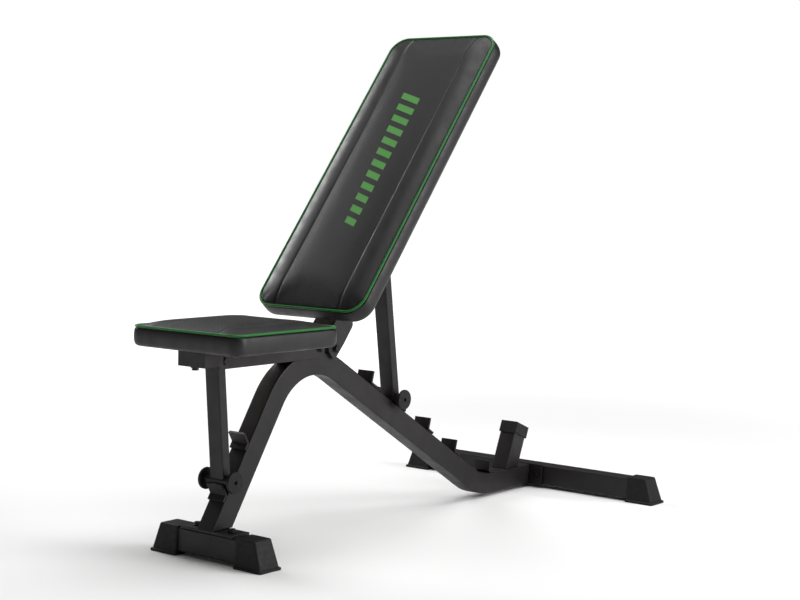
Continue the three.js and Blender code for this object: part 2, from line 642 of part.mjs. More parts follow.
add('seat_board', 'plywood', boardSolid(SEAT_LENGTH, SEAT_CORNER, [
  [CROSS_BOLT_X, CROSS_BOLT_Y - SEAT_FRONT], [-CROSS_BOLT_X, CROSS_BOLT_Y - SEAT_FRONT],
  [0, FRONT_BOLT_Y - SEAT_FRONT]]).applyMatrix4(seatFrame));
add('seat_pad', 'black_vinyl', padSolid(SEAT_LENGTH, SEAT_CORNER).applyMatrix4(seatFrame));
add('seat_piping', 'green_piping', pipingSolid(SEAT_LENGTH, SEAT_CORNER).applyMatrix4(seatFrame));
add('seat_pivot_bolt', 'black_bolt', pivotBolt(SEAT_PIVOT, SEAT_RAIL_WIDTH / 2));
add('seat_pivot_nut', 'black_bolt', pivotNut(SEAT_PIVOT, SEAT_RAIL_WIDTH / 2));

// ---------------------------------------------------------------- struts

function strut(name, pivot, roller) {
  const up = between(roller, pivot);
  const round = STRUT_DEPTH / 2;
  const top = along(pivot, up, round);
  const tube = cut(
    across(roundedShape([
      along(roller, leftOf(up), round), along(roller, leftOf(up), -round),
      along(top, leftOf(up), -round), along(top, leftOf(up), round)], [0, 0, round - 0.5, round - 0.5]),
    STRUT_WIDTH, 2.5),
    across(bandShape([along(roller, up, -20), along(top, up, -2 * round)], round - STRUT_WALL, 0),
      STRUT_WIDTH - 2 * STRUT_WALL),
    rod(roller, ROLLER_RADIUS + GAP, -40, 40, 32),
    hole(pivot));
  add(`${name}_tube`, 'powder_coat', tube);
  add(`${name}_cross_tube`, 'powder_coat', cut(
    rod(roller, ROLLER_RADIUS, -ROLLER_HALF, ROLLER_HALF, 32),
    rod(roller, ROLLER_RADIUS - TUBE_WALL, -60, 60, 24)));
  addPair(`${name}_flange`, 'black_plastic', (side) => strutFlange(roller, side));
}

// Flanged plug pressed into the end of a cross tube: rounded rim, centre hole.
function strutFlange(roller, side) {
  const start = ROLLER_HALF + GAP;
  const end = start + FLANGE_THICKNESS;
  const rim = FLANGE_RADIUS;
  const plug = ROLLER_RADIUS - TUBE_WALL - GAP;
  const outline = [
    [2.2, start - 14], [plug, start - 14], [plug, start], [rim - 1, start], [rim, start + 1],
    [rim, end - 1.6], [rim - 0.5, end - 0.5], [rim - 1.8, end], [4, end], [4, end - 3], [2.2, end - 3],
    [2.2, start - 14],
  ].map(([radius, x]) => new THREE.Vector2(radius, x));
  const flange = new THREE.LatheGeometry(outline, 32).rotateZ(-Math.PI / 2).translate(0, ...roller);
  return side > 0 ? flange : mirrored(flange);
}

strut('seat_strut', SEAT_STRUT_PIVOT, seatRoller);
add('seat_strut_bolt', 'black_bolt', pivotBolt(SEAT_STRUT_PIVOT, SEAT_RAIL_WIDTH / 2));
add('seat_strut_nut', 'black_bolt', pivotNut(SEAT_STRUT_PIVOT, SEAT_RAIL_WIDTH / 2));

// ---------------------------------------------------------------- backrest

const BACK_V = heading(BACK_ANGLE);
const BACK_W = leftOf(BACK_V);
function onBack(v, w) { return along(along(BACK_EDGE, BACK_V, v), BACK_W, w); }

const PAD_BRACKET_HEIGHT = 30;
const BACK_RAIL_FRONT = -PAD_SIDE - PAD_BRACKET_HEIGHT - 2 * GAP;
const BACK_RAIL_MIDDLE = BACK_RAIL_FRONT - TUBE_DEPTH / 2;
const BACK_RAIL_SPAN = [8, 560];
const backStrutV = 243.8;
const BACK_STRUT_PIVOT = onBack(backStrutV, BACK_RAIL_MIDDLE);

const backRail = bentTube([onBack(BACK_RAIL_SPAN[0], BACK_RAIL_MIDDLE), onBack(BACK_RAIL_SPAN[1], BACK_RAIL_MIDDLE)],
  TUBE_DEPTH, TUBE_WIDTH, TUBE_WALL);
const STRUT_SLOT = [backStrutV - 66, backStrutV + 16];
const slotMiddle = BACK_RAIL_MIDDLE - TUBE_DEPTH / 2;
add('backrest_rail', 'powder_coat', cut(
  backRail,
  across(bandShape([onBack(STRUT_SLOT[0], slotMiddle), onBack(STRUT_SLOT[1], slotMiddle)], 6, 0),
    TUBE_WIDTH - 2 * TUBE_WALL),
  hole(BACK_STRUT_PIVOT)));

// Folded hinge bracket: two cheeks beside the rail, joined by a web in front of it.
const CHEEK_HALF = 27.1;
const CHEEK_TOP = 48;
const CHEEK_BOTTOM = 2;         // the rail side of the cheek starts here, up the backrest
const CHEEK_TIP = along(BACK_PIVOT, heading(-99), 25);
const CHEEK_NOSE = along(BACK_PIVOT, heading(185), 21);
const BACK_RAIL_REAR = BACK_RAIL_FRONT - TUBE_DEPTH;
function hingeBracket() {
  const webFront = BACK_RAIL_FRONT + GAP + SHEET;
  const outside = across(roundedShape([CHEEK_NOSE, CHEEK_TIP,
    onBack(CHEEK_BOTTOM, BACK_RAIL_REAR), onBack(CHEEK_TOP, BACK_RAIL_REAR),
    onBack(CHEEK_TOP, webFront), onBack(CHEEK_BOTTOM, webFront)], [8, 6, 0, 12, 3, 0]), 2 * CHEEK_HALF, 0);
  const far = 60;
  const inside = across(roundedShape([
    onBack(-far, BACK_RAIL_FRONT + GAP), onBack(-far, BACK_RAIL_REAR - far),
    onBack(CHEEK_TOP + far, BACK_RAIL_REAR - far), onBack(CHEEK_TOP + far, BACK_RAIL_FRONT + GAP)], 0),
  2 * (CHEEK_HALF - SHEET));
  return cut(outside, inside, hole(BACK_PIVOT));
}
add('backrest_hinge_bracket', 'powder_coat', hingeBracket());
add('backrest_pivot_bolt', 'black_bolt', pivotBolt(BACK_PIVOT, CHEEK_HALF));
add('backrest_pivot_nut', 'black_bolt', pivotNut(BACK_PIVOT, CHEEK_HALF));

const PAD_BRACKET_V = [130, 500];
const PAD_BRACKET_HALF = 75;
const PAD_BRACKET_WIDTH = 38;
const PAD_BOLT_X = 55;
['lower', 'upper'].forEach((name, i) => {
  const v = PAD_BRACKET_V[i];
  const top = -PAD_SIDE - GAP;
  add(`backrest_${name}_bracket`, 'powder_coat', cut(
    block([-PAD_BRACKET_HALF, PAD_BRACKET_HALF], [v - PAD_BRACKET_WIDTH / 2, v + PAD_BRACKET_WIDTH / 2],
      [BACK_RAIL_FRONT + GAP, top]),
    block([-PAD_BRACKET_HALF - 5, PAD_BRACKET_HALF + 5],
      [v - PAD_BRACKET_WIDTH / 2 + SHEET, v + PAD_BRACKET_WIDTH / 2 - SHEET], [BACK_RAIL_FRONT - 5, top - SHEET]),
    ...[1, -1].map((side) => verticalHole(side * PAD_BOLT_X, v, top - 10, top + 1)),
  ).applyMatrix4(backFrame));
  addPair(`backrest_${name}_bolt`, 'black_bolt', (side) => hexBolt(11, new THREE.Vector3(0, 0, -1),
    [side * PAD_BOLT_X, v, top - SHEET - GAP]).applyMatrix4(backFrame));
});

const backHoles = PAD_BRACKET_V.flatMap((v) => [[PAD_BOLT_X, v], [-PAD_BOLT_X, v]]);
add('backrest_board', 'plywood', boardSolid(BACK_LENGTH, BACK_CORNER, backHoles).applyMatrix4(backFrame));
add('backrest_pad', 'black_vinyl', padSolid(BACK_LENGTH, BACK_CORNER).applyMatrix4(backFrame));
add('backrest_piping', 'green_piping', pipingSolid(BACK_LENGTH, BACK_CORNER).applyMatrix4(backFrame));

const PLUG_RIM = 3;
add('backrest_rail_plug', 'black_plastic', joined(
  across(bandShape([onBack(BACK_RAIL_SPAN[1] + GAP, BACK_RAIL_MIDDLE),
    onBack(BACK_RAIL_SPAN[1] + GAP + PLUG_RIM, BACK_RAIL_MIDDLE)], TUBE_DEPTH / 2 - 0.4, 0), TUBE_WIDTH - 0.8, 0.8),
  across(bandShape([onBack(BACK_RAIL_SPAN[1] - 14, BACK_RAIL_MIDDLE), onBack(BACK_RAIL_SPAN[1] + 2, BACK_RAIL_MIDDLE)],
    TUBE_DEPTH / 2 - TUBE_WALL - GAP, 0), TUBE_WIDTH - 2 * (TUBE_WALL + GAP), 0.8)));

strut('back_strut', BACK_STRUT_PIVOT, backRoller);
add('back_strut_bolt', 'black_bolt', pivotBolt(BACK_STRUT_PIVOT, TUBE_WIDTH / 2));
add('back_strut_nut', 'black_bolt', pivotNut(BACK_STRUT_PIVOT, TUBE_WIDTH / 2));

// ---------------------------------------------------------------- centre on the footprint

const bounds = new THREE.Box3().setFromObject(bench);
const middle = bounds.getCenter(new THREE.Vector3());
bench.children.forEach((mesh) => mesh.geometry.translate(-middle.x, -middle.y, -bounds.min.z));

export default bench;
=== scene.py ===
"""Looks of the adjustable weight bench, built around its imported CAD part.

Everything is in metres in the part's own frame: +X across the bench, -Y towards the seat end, +Z up.
The two pads and their piping are made here; the metal and plastic nodes keep their CAD shape.
"""

import json
import math

import bpy
import numpy as np
from mathutils import Matrix, Vector

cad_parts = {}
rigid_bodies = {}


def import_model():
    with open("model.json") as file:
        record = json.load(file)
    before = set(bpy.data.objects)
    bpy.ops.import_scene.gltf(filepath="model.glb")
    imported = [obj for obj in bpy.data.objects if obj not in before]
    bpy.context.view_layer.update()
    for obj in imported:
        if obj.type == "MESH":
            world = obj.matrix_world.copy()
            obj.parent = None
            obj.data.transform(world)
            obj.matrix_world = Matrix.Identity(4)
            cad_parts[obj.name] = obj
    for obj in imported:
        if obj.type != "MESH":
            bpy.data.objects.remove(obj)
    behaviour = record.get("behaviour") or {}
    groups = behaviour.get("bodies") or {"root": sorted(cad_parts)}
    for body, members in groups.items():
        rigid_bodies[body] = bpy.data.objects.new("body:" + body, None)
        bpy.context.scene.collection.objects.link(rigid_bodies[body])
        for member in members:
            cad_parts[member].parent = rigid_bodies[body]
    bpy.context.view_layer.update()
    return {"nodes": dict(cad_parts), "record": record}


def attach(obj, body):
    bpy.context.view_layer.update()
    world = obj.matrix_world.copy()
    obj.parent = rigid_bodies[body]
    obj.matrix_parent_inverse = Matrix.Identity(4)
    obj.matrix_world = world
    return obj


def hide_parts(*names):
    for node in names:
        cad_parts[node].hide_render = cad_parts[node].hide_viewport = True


for left_over in list(bpy.data.objects):
    bpy.data.objects.remove(left_over)

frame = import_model()
nodes = frame["nodes"]

MM = 0.001

# ---------------------------------------------------------------- camera, light and floor

CAMERA_PLACE = (2.0675, -2.5699, 0.7059)
CAMERA_AZIMUTH = math.radians(38.3)
CAMERA_ELEVATION = math.radians(4.4)
CAMERA_ROLL = math.radians(1.2)
CAMERA_LENS = 73.3
WORLD_LIGHT = 0.12
FLOOR_HALF = 30.0
FLOOR_GLOW = 0.0
FLOOR_GLOW_FROM = 1.3           # the floor is lit paper near the bench and plain white far off
FLOOR_GLOW_TO = 4.0


def add_camera():
    """The camera as fitted to the photograph, with its small roll."""
    back = Vector((
        math.sin(CAMERA_AZIMUTH) * math.cos(CAMERA_ELEVATION),
        -math.cos(CAMERA_AZIMUTH) * math.cos(CAMERA_ELEVATION),
        math.sin(CAMERA_ELEVATION)))
    level = Vector((math.cos(CAMERA_AZIMUTH), math.sin(CAMERA_AZIMUTH), 0))
    plumb = back.cross(level)
    right = level * math.cos(CAMERA_ROLL) + plumb * math.sin(CAMERA_ROLL)
    up = plumb * math.cos(CAMERA_ROLL) - level * math.sin(CAMERA_ROLL)
    camera = bpy.data.objects.new("camera", bpy.data.cameras.new("camera"))
    camera.data.lens = CAMERA_LENS
    turn = Matrix((right, up, back)).transposed().to_4x4()
    camera.matrix_world = Matrix.Translation(CAMERA_PLACE) @ turn
    bpy.context.scene.collection.objects.link(camera)
    bpy.context.scene.camera = camera


def add_softbox(name, place, aim, size, power):
    """A square area light at place, facing aim."""
    light = bpy.data.lights.new(name, "AREA")
    light.shape = "SQUARE"
    light.size = size
    light.energy = power
    box = bpy.data.objects.new(name, light)
    box.location = place
    box.rotation_euler = (Vector(aim) - Vector(place)).to_track_quat("-Z", "Y").to_euler()
    bpy.context.scene.collection.objects.link(box)


def add_studio():
    add_softbox("left_softbox", (-2.9, 0.3, 1.9), (0, 0, 0.6), 1.4, 44)
    add_softbox("right_softbox", (3.0, 1.3, 1.5), (0, 0, 0.5), 1.8, 70)
    add_softbox("top_softbox", (0.2, 0.3, 3.4), (0, 0.1, 0.3), 3.0, 100)
    world = bpy.data.worlds.new("studio")
    world.use_nodes = True
    new = world.node_tree.nodes.new
    link = world.node_tree.links.new
    background = world.node_tree.nodes["Background"]
    background.inputs["Color"].default_value = (1, 1, 1, 1)
    background.inputs["Strength"].default_value = WORLD_LIGHT
    backdrop = new("ShaderNodeBackground")
    backdrop.inputs["Color"].default_value = (1, 1, 1, 1)
    seen = new("ShaderNodeLightPath").outputs["Is Camera Ray"]
    either = new("ShaderNodeMixShader")
    link(seen, either.inputs[0])
    link(background.outputs[0], either.inputs[1])
    link(backdrop.outputs[0], either.inputs[2])
    link(either.outputs[0], world.node_tree.nodes["World Output"].inputs["Surface"])
    bpy.context.scene.world = world
    bpy.context.scene.view_settings.view_transform = "Standard"


def add_floor():
    half = FLOOR_HALF
    corners = [(-half, -half, 0), (half, -half, 0), (half, half, 0), (-half, half, 0)]
    mesh = bpy.data.meshes.new("floor")
    mesh.from_pydata(corners, [], [(0, 1, 2, 3)])
    floor = bpy.data.objects.new("floor", mesh)
    bpy.context.scene.collection.objects.link(floor)
    paper = Surface("floor_paper", (0.9, 0.9, 0.9), roughness=0.95, specular=0.1)
    away = paper.node("ShaderNodeVectorMath", {"operation": "LENGTH"}, Vector=paper.place)
    paper.shader.inputs["Emission Color"].default_value = (1, 1, 1, 1)
    paper.feed(paper.shader.inputs["Emission Strength"],
               paper.spread(away.outputs["Value"], FLOOR_GLOW_FROM, FLOOR_GLOW_TO, FLOOR_GLOW, 1.0))
    mesh.materials.append(paper.material)


# ---------------------------------------------------------------- materials

def srgb(red, green, blue):
    """A colour given as 0-255 screen values, in the linear values that shaders use."""
    return tuple((c / 255 / 12.92 if c / 255 <= 0.04045 else ((c / 255 + 0.055) / 1.055) ** 2.4)
                 for c in (red, green, blue))


class Surface:
    """A node material with short ways to add texture to its colour, roughness and bump."""

    def __init__(self, name, colour, roughness, metallic=0.0, specular=0.5):
        self.material = bpy.data.materials.new(name)
        self.material.use_nodes = True
        self.tree = self.material.node_tree
        self.shader = self.tree.nodes["Principled BSDF"]
        self.shader.inputs["Base Color"].default_value = (*colour, 1)
        self.shader.inputs["Roughness"].default_value = roughness
        self.shader.inputs["Metallic"].default_value = metallic
        self.shader.inputs["Specular IOR Level"].default_value = specular
        self.colour = self.rgb(colour)
        self.place = self.node("ShaderNodeTexCoord").outputs["Object"]
        self.normal = None

    def node(self, kind, settings=None, **inputs):
        made = self.tree.nodes.new(kind)
        for key, value in (settings or {}).items():
            setattr(made, key, value)
        for key, value in inputs.items():
            self.feed(made.inputs[key.replace("_", " ")], value)
        return made

    def feed(self, socket, value):
        if isinstance(value, bpy.types.NodeSocket):
            self.tree.links.new(value, socket)
        else:
            socket.default_value = value

    def rgb(self, colour):
        made = self.tree.nodes.new("ShaderNodeRGB")
        made.outputs[0].default_value = (*colour, 1)
        return made.outputs[0]

    def noise(self, size, detail=2.0, place=None):
        """Noise whose lumps are about size metres across, from 0 to 1."""
        made = self.node("ShaderNodeTexNoise", Scale=1 / size, Detail=detail, Vector=place or self.place)
        return made.outputs["Fac"]

    def cells(self, size, randomness=1.0, place=None, feature="F1"):
        """Distance from the middle of cells size metres across."""
        made = self.node("ShaderNodeTexVoronoi", {"feature": feature}, Scale=1 / size,
                         Randomness=randomness, Vector=place or self.place)
        return made.outputs["Distance"]

    def math(self, operation, first, second=0.0, clamp=False):
        made = self.tree.nodes.new("ShaderNodeMath")
        made.operation = operation
        made.use_clamp = clamp
        self.feed(made.inputs[0], first)
        self.feed(made.inputs[1], second)
        return made.outputs[0]

    def spread(self, value, low, high, to_low=0.0, to_high=1.0):
        """value from low..high mapped smoothly to to_low..to_high and held there."""
        made = self.node("ShaderNodeMapRange", {"interpolation_type": "SMOOTHSTEP"}, Value=value)
        for key, number in (("From Min", low), ("From Max", high), ("To Min", to_low), ("To Max", to_high)):
            made.inputs[key].default_value = number
        return made.outputs["Result"]

    def axis(self, letter, place=None):
        made = self.node("ShaderNodeSeparateXYZ", Vector=place or self.place)
        return made.outputs[letter]

    def tint(self, amount, colour):
        """Blends the colour so far towards another by amount."""
        made = self.tree.nodes.new("ShaderNodeMix")
        made.data_type = "RGBA"
        self.feed(made.inputs["Factor"], amount)
        self.feed(made.inputs[6], self.colour)
        self.feed(made.inputs[7], self.rgb(colour) if isinstance(colour, tuple) else colour)
        self.colour = made.outputs[2]
        self.feed(self.shader.inputs["Base Color"], self.colour)

    def gloss(self, value):
        self.feed(self.shader.inputs["Roughness"], value)

    def bump(self, height, depth, strength=1.0):
        """Adds relief: height 0..1 stands for depth metres."""
        made = self.node("ShaderNodeBump", Strength=strength, Distance=depth, Height=height)
        if self.normal is not None:
            self.feed(made.inputs["Normal"], self.normal)
        self.normal = made.outputs["Normal"]
        self.feed(self.shader.inputs["Normal"], self.normal)

    def soft_edges(self, radius):
        """Rounds every sharp edge a little in the shading, and gives a mask that is 1 on those edges."""
        rounded = self.node("ShaderNodeBevel", {"samples": 6}, Radius=radius).outputs["Normal"]
        true = self.tree.nodes.new("ShaderNodeNewGeometry").outputs["Normal"]
        match = self.tree.nodes.new("ShaderNodeVectorMath")
        match.operation = "DOT_PRODUCT"
        self.feed(match.inputs[0], rounded)
        self.feed(match.inputs[1], true)
        self.normal = rounded
        self.feed(self.shader.inputs["Normal"], rounded)
        return self.spread(match.outputs["Value"], 0.97, 0.80)


def powder_coat():
    """Charcoal powder coat: a fine orange-peel skin, slightly rubbed along the edges."""
    coat = Surface("powder_coat_charcoal", srgb(24, 19, 20), roughness=0.46, specular=0.35)
    edges = coat.soft_edges(1.2 * MM)
    patchy = coat.spread(coat.noise(14 * MM, 3), 0.42, 0.62)
    coat.tint(coat.spread(coat.noise(160 * MM, 2), 0.3, 0.7, 0.0, 0.35), srgb(19, 18, 19))
    coat.tint(coat.math("MULTIPLY", coat.math("MULTIPLY", edges, patchy), 0.30), srgb(88, 83, 83))
    coat.gloss(coat.spread(coat.noise(30 * MM, 4), 0.25, 0.75, 0.40, 0.54))
    coat.bump(coat.noise(1.3 * MM, 2), 0.10 * MM, 0.55)
    return coat.material


def moulded_plastic():
    """Black moulded plastic with a spark-eroded grain."""
    plastic = Surface("moulded_black_plastic", srgb(17, 16, 17), roughness=0.55, specular=0.3)
    edges = plastic.soft_edges(1.0 * MM)
    plastic.tint(plastic.spread(plastic.noise(60 * MM, 3), 0.3, 0.7, 0.0, 0.4), srgb(15, 14, 15))
    plastic.tint(plastic.math("MULTIPLY", edges, 0.18), srgb(86, 83, 84))
    plastic.gloss(plastic.spread(plastic.noise(8 * MM, 3), 0.3, 0.7, 0.50, 0.64))
    plastic.bump(plastic.cells(0.9 * MM), 0.12 * MM, 0.5)
    return plastic.material


def black_bolt():
    """Blackened steel, a little brighter where a spanner has been."""
    steel = Surface("blackened_steel", srgb(22, 22, 24), roughness=0.36, metallic=0.5)
    edges = steel.soft_edges(0.5 * MM)
    steel.tint(steel.math("MULTIPLY", edges, 0.4), srgb(80, 79, 82))
    steel.gloss(steel.spread(steel.noise(3 * MM, 4), 0.3, 0.7, 0.28, 0.48))
    steel.bump(steel.noise(0.6 * MM, 3), 0.05 * MM, 0.4)
    return steel.material


def plywood():
    """Birch ply: long grain on the faces and thin plies on the edges."""
    wood = Surface("plywood", srgb(186, 155, 112), roughness=0.72)
    stretched = wood.node("ShaderNodeMapping", Vector=wood.place, Scale=(1.0, 0.07, 1.0)).outputs["Vector"]
    grain = wood.noise(2.2 * MM, 5, stretched)
    wood.tint(wood.spread(grain, 0.40, 0.66), srgb(150, 116, 76))
    plies = wood.node("ShaderNodeTexWave", {"bands_direction": "Z"}, Scale=110.0, Distortion=1.2,
                      Vector=wood.place).outputs["Fac"]
    wood.tint(wood.math("MULTIPLY", plies, 0.25), srgb(122, 90, 58))
    wood.bump(grain, 0.2 * MM, 0.5)
    return wood.material


def leather_grain(cover, depth):
    """The fine pebbled grain that synthetic leather is embossed with."""
    pebbles = cover.cells(1.5 * MM, feature="SMOOTH_F1")
    creases = cover.noise(0.9 * MM, 3)
    cover.bump(cover.math("ADD", pebbles, cover.math("MULTIPLY", creases, 0.5)), depth, 0.55)


def seam_fold_painted_shade(cover, seam):
    """Paints shade into the fold where two panels are sewn together, at seam metres each side of the middle.
    """
    away = cover.math("ABSOLUTE", cover.math("SUBTRACT", cover.math("ABSOLUTE", cover.axis("X")), seam))
    # painted shade: the fold along each seam is darkened almost to black
    cover.tint(cover.spread(away, 0.5 * MM, 1.5 * MM, 0.85, 0.0), srgb(5, 5, 5))


def smooth_vinyl(seam):
    """Black synthetic leather of the outer panels and the sides."""
    cover = Surface("black_synthetic_leather", srgb(21, 17, 18), roughness=0.40, specular=0.40)
    cover.tint(cover.spread(cover.noise(90 * MM, 3), 0.3, 0.7, 0.0, 0.4), srgb(14, 13, 14))
    cover.gloss(cover.spread(cover.noise(22 * MM, 4), 0.3, 0.7, 0.38, 0.50))
    seam_fold_painted_shade(cover, seam)
    leather_grain(cover, 0.16 * MM)
    return cover.material


def embossed_vinyl(name, seam, printed):
    """Black cover of the middle panel, embossed with a close diagonal grid of dots.

    printed adds a plain motif of slanted bars, and holds the values that motif_mask takes."""
    cover = Surface(name, srgb(19, 18, 19), roughness=0.48, specular=0.3)
    cover.tint(cover.spread(cover.noise(110 * MM, 3), 0.3, 0.7, 0.0, 0.35), srgb(14, 13, 15))
    turned = cover.node("ShaderNodeMapping", Vector=cover.place,
                        Rotation=(0, 0, math.radians(45)), Scale=(1, 1, 0)).outputs["Vector"]
    dots = cover.spread(cover.cells(2.5 * MM, randomness=0.0, place=turned), 0.16, 0.44)
    # painted shade: the dimples of the embossed dots are darkened towards black
    cover.tint(cover.math("MULTIPLY", cover.math("SUBTRACT", 1.0, dots), 0.45), srgb(10, 10, 10))
    cover.gloss(cover.spread(dots, 0.0, 1.0, 0.62, 0.46))
    if printed:
        cover.tint(motif_mask(cover, **printed), srgb(72, 142, 58))
    seam_fold_painted_shade(cover, seam)
    cover.bump(dots, 0.35 * MM, 0.6)
    leather_grain(cover, 0.06 * MM)
    return cover.material


def motif_mask(cover, start, end, left, right, bars, slant):
    """1 inside a row of slanted bars between start and end up the pad, 0 elsewhere.

    The bars get shorter towards the low end of the row."""
    across = cover.axis("X")
    up = cover.math("ADD", cover.axis("Y"), cover.math("MULTIPLY", across, slant))
    pitch = (end - start) / bars
    step = cover.math("DIVIDE", cover.math("SUBTRACT", up, start), pitch)
    inside = cover.math("FRACT", step)
    to_next = cover.math("SUBTRACT", 1.0, inside)
    bar = cover.math("MULTIPLY", crisp(cover, inside, 0.16), crisp(cover, to_next, 0.30))
    left_over = cover.math("SUBTRACT", bars, step)
    row = cover.math("MULTIPLY", crisp(cover, step, 0.0), crisp(cover, left_over, 0.0))
    share = cover.math("DIVIDE", cover.math("FLOOR", step), bars)
    taper = cover.math("MULTIPLY", cover.math("SUBTRACT", 1.0, share), (right - left) * 0.45)
    from_left = cover.math("SUBTRACT", across, cover.math("ADD", left, taper))
    from_right = cover.math("SUBTRACT", right, across)
    width = cover.math("MULTIPLY", crisp(cover, cover.math("MULTIPLY", from_left, 100.0), 0.0),
                       crisp(cover, cover.math("MULTIPLY", from_right, 100.0), 0.0))
    return cover.math("MULTIPLY", cover.math("MULTIPLY", bar, row), width)


def crisp(cover, value, edge):
    return cover.spread(value, edge - 0.02, edge + 0.02)


def green_piping():
    """Green synthetic leather wrapped round a cord."""
    cord = Surface("green_synthetic_leather", srgb(24, 108, 40), roughness=0.45, specular=0.3)
    cord.tint(cord.spread(cord.noise(12 * MM, 3), 0.3, 0.7, 0.0, 0.35), srgb(18, 92, 34))
    cord.gloss(cord.spread(cord.noise(9 * MM, 3), 0.3, 0.7, 0.36, 0.50))
    leather_grain(cord, 0.10 * MM)
    return cord.material


# ---------------------------------------------------------------- CAD nodes

SMOOTH_BELOW = math.radians(32)


def smooth_group():
    """Geometry nodes that join a CAD node's loose triangles and shade its gentle bends smooth."""
    group = bpy.data.node_groups.new("smooth_gentle_bends", "GeometryNodeTree")
    group.interface.new_socket("Geometry", in_out="INPUT", socket_type="NodeSocketGeometry")
    group.interface.new_socket("Geometry", in_out="OUTPUT", socket_type="NodeSocketGeometry")
    new = group.nodes.new
    start = new("NodeGroupInput")
    weld = new("GeometryNodeMergeByDistance")
    weld.inputs["Distance"].default_value = 0.005 * MM
    all_smooth = new("GeometryNodeSetShadeSmooth")
    sharp = new("GeometryNodeSetShadeSmooth")
    sharp.domain = "EDGE"
    sharp.inputs["Shade Smooth"].default_value = False
    angle = new("GeometryNodeInputMeshEdgeAngle")
    steep = new("FunctionNodeCompare")
    steep.data_type = "FLOAT"
    steep.operation = "GREATER_THAN"
    steep.inputs["B"].default_value = SMOOTH_BELOW
    end = new("NodeGroupOutput")
    link = group.links.new
    link(start.outputs[0], weld.inputs["Geometry"])
    link(weld.outputs["Geometry"], all_smooth.inputs["Geometry"])
    link(all_smooth.outputs["Geometry"], sharp.inputs["Geometry"])
    link(angle.outputs["Unsigned Angle"], steep.inputs["A"])
    link(steep.outputs["Result"], sharp.inputs["Selection"])
    link(sharp.outputs["Geometry"], end.inputs[0])
    return group


def dress_cad_nodes(surfaces):
    """Gives each CAD node the surface of its slot, and shades its bends smooth without touching its mesh."""
    group = smooth_group()
    for part in frame["record"]["subparts"]:
        piece = nodes[part["node"]]
        surface = surfaces.get(part["material_slot"])
        if surface is None:
            continue
        piece.material_slots[0].material = surface
        if "custom_normal" in piece.data.attributes:
            piece.data.attributes.remove(piece.data.attributes["custom_normal"])
        piece.modifiers.new("smooth", "NODES").node_group = group
        piece.modifiers.new("even_shading", "WEIGHTED_NORMAL").keep_sharp = True


# ---------------------------------------------------------------- pads

GRID_STEP = 5.5 * MM          # spacing of the grid that a pad's face is made of
SEAM_SHARE = 0.6              # the seams lie at this share of the half width
SEAM_DEPTH = 1.9 * MM
SEAM_REACH = 3.2 * MM         # half width of the valley that a seam pulls
CROWN = 10.0 * MM
CROWN_REACH = 62 * MM         # the face has its full height this far in from the piping
FACE_INSET = 5.7 * MM         # the face starts this far in from the pad's outline
PUFF_LIMIT = 4.5 * MM
PUFF_FRAMES = 20
PUFF_PRESSURE = 4
CROWN_ROUNDNESS = 2.6
RIM_RISE = 0.9 * MM           # height of the face right beside the piping
VALLEY_WIDTH = 0.55           # of a seam, as a share of SEAM_REACH
CORD_SIDES = 12
TIGHTEST_CORNER = 3 * MM

# Profile of the cover from the face's edge round the piping and down the side, as (inset from the
# outline, height above the piping) in millimetres. BOARD_NEST lies against the board.
NEST = [(5.6, -0.4), (4.9, -1.9), (3.4, -2.9), (1.7, -3.3), (0.5, -4.4)]
SIDE = [(-0.4, -7.5), (-1.1, -13), (-1.4, -19), (-1.1, -25), (-0.2, -30), (1.6, -33.6), (4.6, -36.0)]
HEM = [(9.0, -37.2), (16.0, -37.4), (23.4, -37.4), (24.2, -36.9), (23.4, -36.4), (9.2, -36.4)]
BOARD_NEST = [(7.5, -35.6), (7.5, -31.0), (7.5, -27.2), (8.6, -26.5), (30.0, -26.5)]


def pad_axes(piping):
    """A pad's own axes: X across, Y up the pad, Z out of its face, with the origin inside its piping ring.
    Also gives the half width, half length and cord radius of that ring."""
    points = np.array([v.co for v in nodes[piping].data.vertices], float)
    middle = (points.min(0) + points.max(0)) / 2
    spread = points - middle
    direction = np.linalg.svd(spread[:, 1:], full_matrices=False)[2][0]
    direction = direction * np.sign(direction[0])
    up = np.array((0.0, direction[0], direction[1]))
    out = np.array((0.0, -direction[1], direction[0]))
    axes = Matrix(((1, 0, 0), up.tolist(), out.tolist())).transposed().to_4x4()
    half = (np.abs(spread[:, 0]).max(), np.abs(spread @ up).max())
    return Matrix.Translation(middle.tolist()) @ axes, half, np.abs(spread @ out).max()


def grid_lines(half, seams=()):
    """Evenly spaced lines from -half to half, with closer ones beside each seam."""
    lines = np.linspace(-half, half, 2 * round(half / GRID_STEP) + 1).tolist()
    for seam in seams:
        lines = [x for x in lines if abs(x - seam) > 1.6 * SEAM_REACH]
        lines += [seam + SEAM_REACH * share for share in (-1, -0.5, 0, 0.5, 1)]
    return sorted(lines)


def round_corner(u, v, half, corner):
    """Where a point of a square-cornered grid goes when the corners are rounded, and the outward way."""
    over = [max(abs(u) - (half[0] - corner), 0), max(abs(v) - (half[1] - corner), 0)]
    length = math.hypot(*over)
    if min(over) > 1e-9:
        squeeze = max(over) / length
        out = Vector((over[0] / length, over[1] / length))
    else:
        squeeze = 1
        out = Vector((1, 0)) if half[0] - abs(u) < half[1] - abs(v) else Vector((0, 1))
    place = [min(abs(u), half[0] - corner) + over[0] * squeeze,
             min(abs(v), half[1] - corner) + over[1] * squeeze]
    signs = (math.copysign(1, u), math.copysign(1, v))
    return Vector((place[0] * signs[0], place[1] * signs[1])), Vector((out.x * signs[0], out.y * signs[1]))


def rise(distance):
    """Share of the crown reached at a distance in from the edge."""
    return 1 - (1 - min(distance / CROWN_REACH, 1)) ** CROWN_ROUNDNESS


